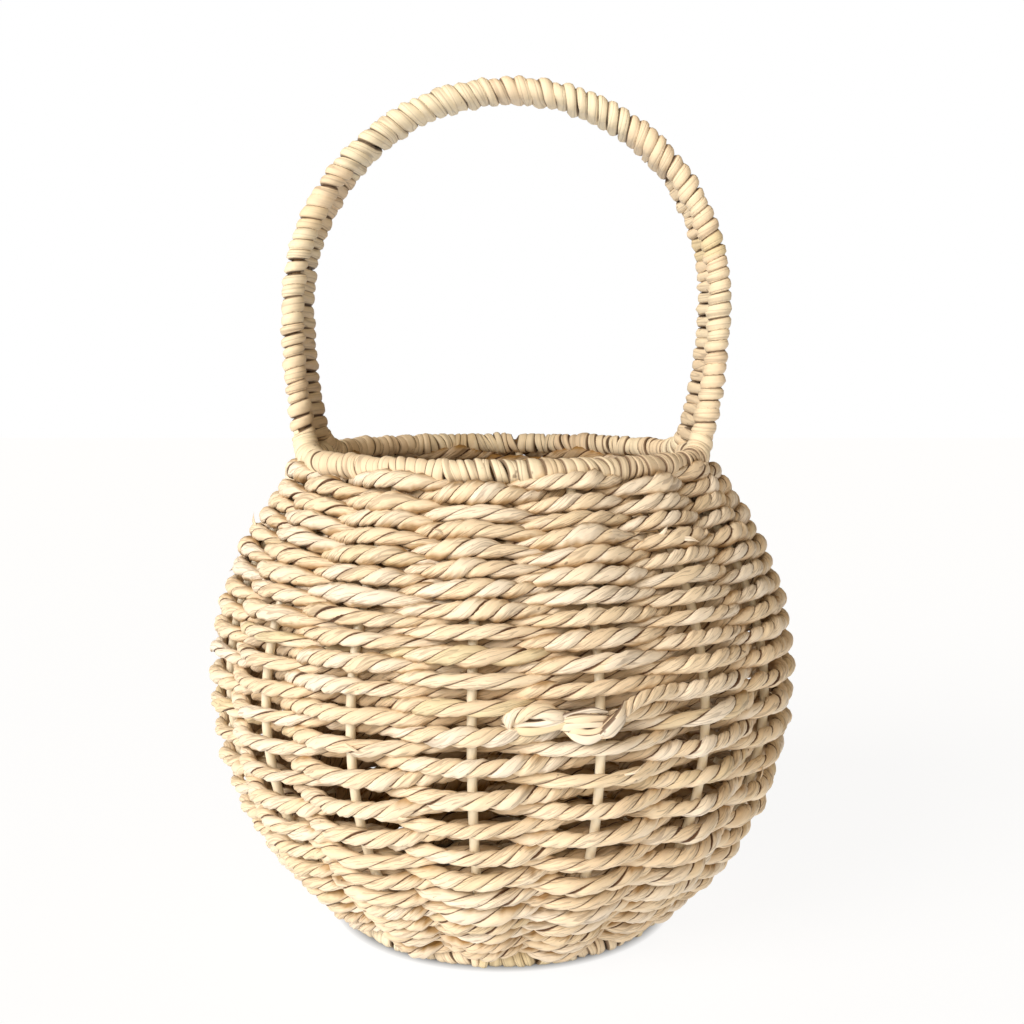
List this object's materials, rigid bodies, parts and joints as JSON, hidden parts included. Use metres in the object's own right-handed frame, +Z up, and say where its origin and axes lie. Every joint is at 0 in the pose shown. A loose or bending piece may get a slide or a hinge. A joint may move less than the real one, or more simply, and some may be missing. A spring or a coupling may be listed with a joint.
{
  "type": "gift basket",
  "caption": "Round woven gift basket: a ball-shaped wire cage woven with twisted husk rope, open at the top, with bound rim and foot and a fixed arched handle.",
  "frame": {"origin": "centre of the circle that the foot stands on", "axes": "+Z up through the mouth; X across the handle's arch; -Y towards the viewer of the picture"},
  "size_m": [0.2188, 0.2188, 0.3106],
  "materials": {
    "husk_rope": "dry twisted husk",
    "husk_binding": "dry wound husk",
    "coated_wire": "satin"
  },
  "bodies": {
    "root": {"rib_01": "coated_wire", "rib_02": "coated_wire", "rib_03": "coated_wire", "rib_04": "coated_wire", "rib_05": "coated_wire", "rib_06": "coated_wire", "rib_07": "coated_wire", "rib_08": "coated_wire", "rib_09": "coated_wire", "rib_10": "coated_wire", "rib_11": "coated_wire", "rib_12": "coated_wire", "rib_13": "coated_wire", "rib_14": "coated_wire", "rib_15": "coated_wire", "rib_16": "coated_wire", "rim_hoop": "coated_wire", "foot_hoop": "coated_wire", "front_bow": "coated_wire", "rear_bow": "coated_wire", "floor_spoke_1": "coated_wire", "floor_spoke_2": "coated_wire", "floor_spoke_3": "coated_wire", "floor_spoke_4": "coated_wire", "floor_spoke_5": "coated_wire", "floor_spoke_6": "coated_wire", "floor_spoke_7": "coated_wire", "floor_spoke_8": "coated_wire", "floor_spoke_9": "coated_wire", "floor_hub": "coated_wire", "side_weaver_a_1": "husk_rope", "side_weaver_a_2": "husk_rope", "side_weaver_a_3": "husk_rope", "side_weaver_b_1": "husk_rope", "side_weaver_b_2": "husk_rope", "side_weaver_b_3": "husk_rope", "floor_weaver": "husk_rope", "rim_binding": "husk_binding", "foot_binding": "husk_binding", "handle_binding": "husk_binding"}
  },
  "joints": []
}
